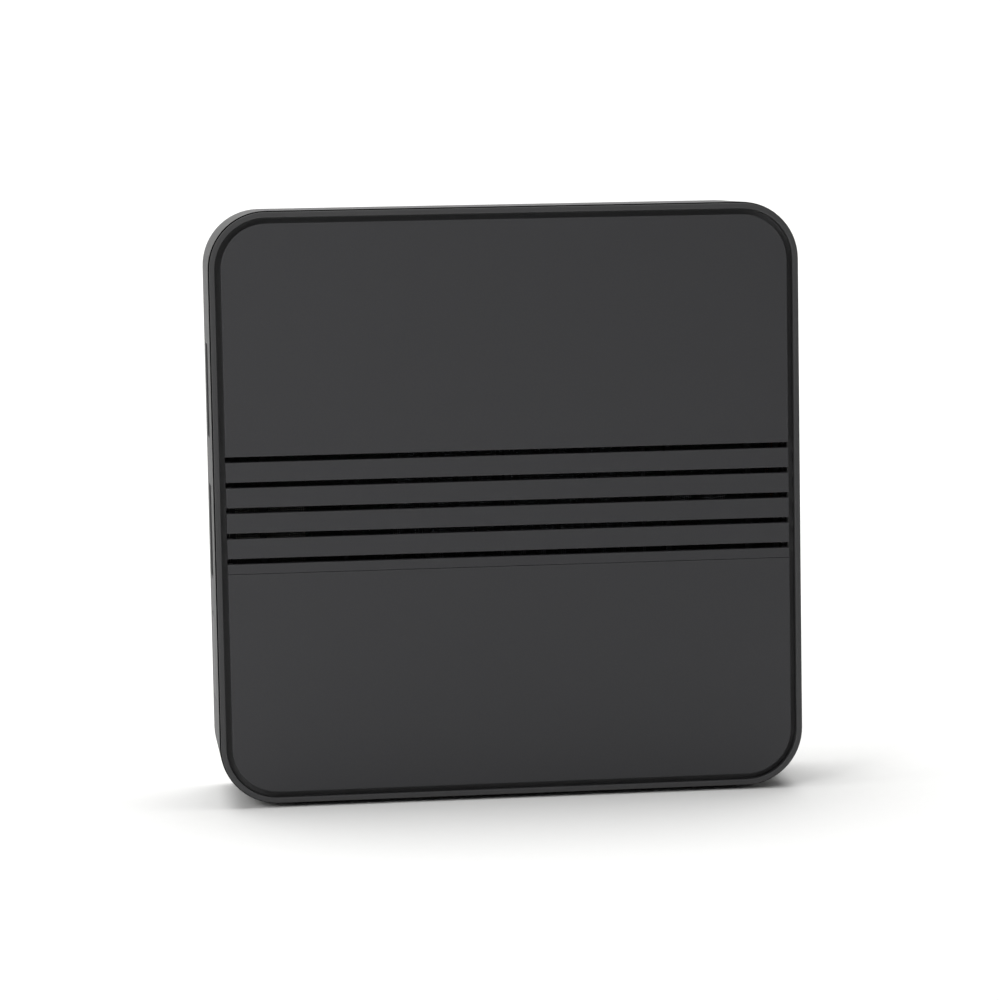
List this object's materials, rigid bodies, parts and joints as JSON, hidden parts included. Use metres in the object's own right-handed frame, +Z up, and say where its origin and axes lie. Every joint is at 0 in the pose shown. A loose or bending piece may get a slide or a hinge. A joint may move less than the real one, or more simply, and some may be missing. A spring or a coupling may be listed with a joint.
{
  "type": "mesh wifi node",
  "caption": "Square upright slab casing with rounded corners, a trench-framed front panel crossed by fine horizontal louvre slots, and ports with a flush bar button on one side.",
  "frame": {"origin": "middle of the footprint, on the plane that the rubber feet rest on", "axes": "+Z up, front panel faces -Y, +X to the right seen from the front, ports on the -X wall"},
  "size_m": [0.13, 0.0336, 0.1308],
  "materials": {
    "housing_plastic": "fine spark-eroded texture",
    "fascia_plastic": "fine spark-eroded texture",
    "button_plastic": "fine spark-eroded texture",
    "black_plastic": "moulded black",
    "gasket_rubber": "soft matt",
    "screen_mesh": "open black mesh",
    "foot_rubber": "matt",
    "label_film": "blank satin film",
    "screw_steel": "black zinc",
    "shield_metal": "tinned sheet",
    "contact_metal": "gold plated",
    "board_laminate": "green solder mask",
    "chip_resin": "moulded black resin",
    "sink_aluminium": "extruded, anodised",
    "pad_silicone": "soft silicone",
    "clear_plastic": "clear polycarbonate",
    "antenna_copper": "copper on film",
    "lead_jacket": "fluoropolymer jacket"
  },
  "bodies": {
    "casing": {"rear_housing": "housing_plastic", "front_frame": "housing_plastic", "upper_fascia": "fascia_plastic", "lower_fascia": "fascia_plastic", "joint_gasket": "gasket_rubber", "dust_screen": "screen_mesh", "rubber_foot_left": "foot_rubber", "rubber_foot_right": "foot_rubber", "rating_label": "label_film", "casing_screws": "screw_steel", "board_screws": "screw_steel", "port_bezel_upper": "black_plastic", "port_bezel_lower": "black_plastic", "ethernet_shell_upper": "shield_metal", "ethernet_shell_lower": "shield_metal", "ethernet_insert_upper": "black_plastic", "ethernet_insert_lower": "black_plastic", "ethernet_contacts": "contact_metal", "power_inlet_shell": "shield_metal", "power_inlet_tongue": "black_plastic", "pair_switch_body": "black_plastic", "reset_switch_body": "black_plastic", "main_board": "board_laminate", "wifi_processor": "chip_resin", "memory_chips": "chip_resin", "thermal_pad": "pad_silicone", "heat_sink": "sink_aluminium", "heat_sink_pins": "black_plastic", "radio_shield_left": "shield_metal", "radio_shield_right": "shield_metal", "radio_chip_left": "chip_resin", "radio_chip_right": "chip_resin", "network_transformers": "chip_resin", "power_coils": "chip_resin", "power_capacitors": "sink_aluminium", "status_led": "clear_plastic", "light_pipe": "clear_plastic", "antenna_top_left": "antenna_copper", "antenna_top_right": "antenna_copper", "antenna_right": "antenna_copper", "antenna_bottom": "antenna_copper", "antenna_leads": "lead_jacket", "antenna_sockets": "contact_metal"},
    "pair_button": {"pair_button": "button_plastic", "pair_switch_plunger": "label_film"},
    "reset_plunger": {"reset_plunger": "label_film"}
  },
  "joints": [
    {"name": "pair_press", "type": "slide", "parent": "casing", "child": "pair_button", "axis": [1, 0, 0], "range_m": [0, 0.00035], "stiffness_N_per_m": 3000, "springref_m": -0.0002},
    {"name": "reset_press", "type": "slide", "parent": "casing", "child": "reset_plunger", "axis": [0, -1, 0], "range_m": [0, 0.00025], "stiffness_N_per_m": 5000, "springref_m": -0.0001}
  ]
}
